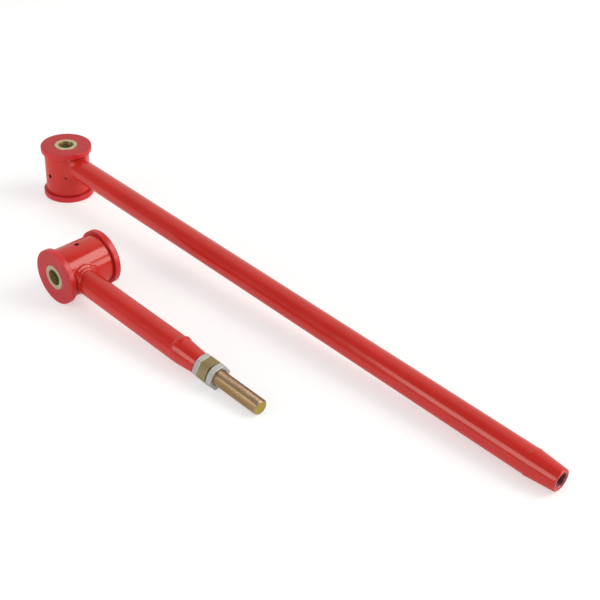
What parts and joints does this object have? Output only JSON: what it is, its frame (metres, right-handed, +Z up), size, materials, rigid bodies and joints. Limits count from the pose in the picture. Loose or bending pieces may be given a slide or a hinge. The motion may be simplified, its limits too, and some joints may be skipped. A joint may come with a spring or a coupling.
{
  "type": "adjustable panhard bar",
  "caption": "Straight tubular lateral locating rod in screwed halves, with a bushed eye on each half, a threaded adjuster stud with a hex, and jam nuts.",
  "frame": {"origin": "middle of the bounding box in plan, on the bench the two halves lie on", "axes": "+Z up from the bench, +X along the long half in plan from its bush eye to its threaded mouth, +Y toward the back, away from the short half"},
  "size_m": [0.903, 0.2158, 0.0789],
  "materials": {
    "powder_coat": "glossy red powder coat on steel",
    "polyurethane": "satin red moulded polyurethane",
    "sleeve_zinc": "yellow zinc plate on machined steel",
    "yellow_zinc": "iridescent yellow zinc plate on cut threads",
    "clear_zinc": "clear zinc plate"
  },
  "bodies": {
    "long_bar": {"long_tube": "powder_coat", "long_eye_housing": "powder_coat", "long_eye_weld": "powder_coat", "long_threaded_bung": "powder_coat", "long_bung_weld": "powder_coat", "long_bushing_upper": "polyurethane", "long_bushing_lower": "polyurethane"},
    "long_sleeve": {"long_sleeve": "sleeve_zinc"},
    "right_jam_nut": {"jam_nut_right_hand": "clear_zinc"},
    "adjuster": {"adjuster_stud": "yellow_zinc"},
    "left_jam_nut": {"jam_nut_left_hand": "clear_zinc"},
    "short_bar": {"short_tube": "powder_coat", "short_eye_housing": "powder_coat", "short_eye_weld": "powder_coat", "short_threaded_bung": "powder_coat", "short_bung_weld": "powder_coat", "short_bushing_front": "polyurethane", "short_bushing_rear": "polyurethane"},
    "short_sleeve": {"short_sleeve": "sleeve_zinc"}
  },
  "joints": [
    {"name": "long_eye_pivot", "type": "hinge", "parent": "long_bar", "child": "long_sleeve", "pos_m": [-0.41413, 0.07201, 0.03948], "axis": [0.0425, 0, 0.9991], "continuous": true},
    {"name": "bench_swing", "type": "hinge", "parent": "long_bar", "child": "right_jam_nut", "pos_m": [0.26907, 0.00913, -0.01562], "axis": [0.0627, -0.1614, 0.9849], "range_deg": [0, 178.07]},
    {"name": "right_thread_travel", "type": "slide", "parent": "right_jam_nut", "child": "adjuster", "axis": [0.9962, 0.04, -0.0779], "range_m": [-0.065, 0]},
    {"name": "left_nut_travel", "type": "slide", "parent": "adjuster", "child": "left_jam_nut", "axis": [-0.9962, -0.04, 0.0779], "range_m": [0, 0.01269]},
    {"name": "short_bar_turn", "type": "hinge", "parent": "left_jam_nut", "child": "short_bar", "pos_m": [0.06236, -0.07108, 0.01696], "axis": [0.9962, 0.04, -0.0779], "range_deg": [0, 2808.72]},
    {"name": "short_eye_pivot", "type": "hinge", "parent": "short_bar", "child": "short_sleeve", "pos_m": [-0.17981, -0.0685, 0.03586], "axis": [0.0401, -0.9992, 0], "continuous": true}
  ],
  "couplings": [
    {"joint": "left_nut_travel", "follows": "short_bar_turn", "m_per_rad": 0.00025266}
  ]
}
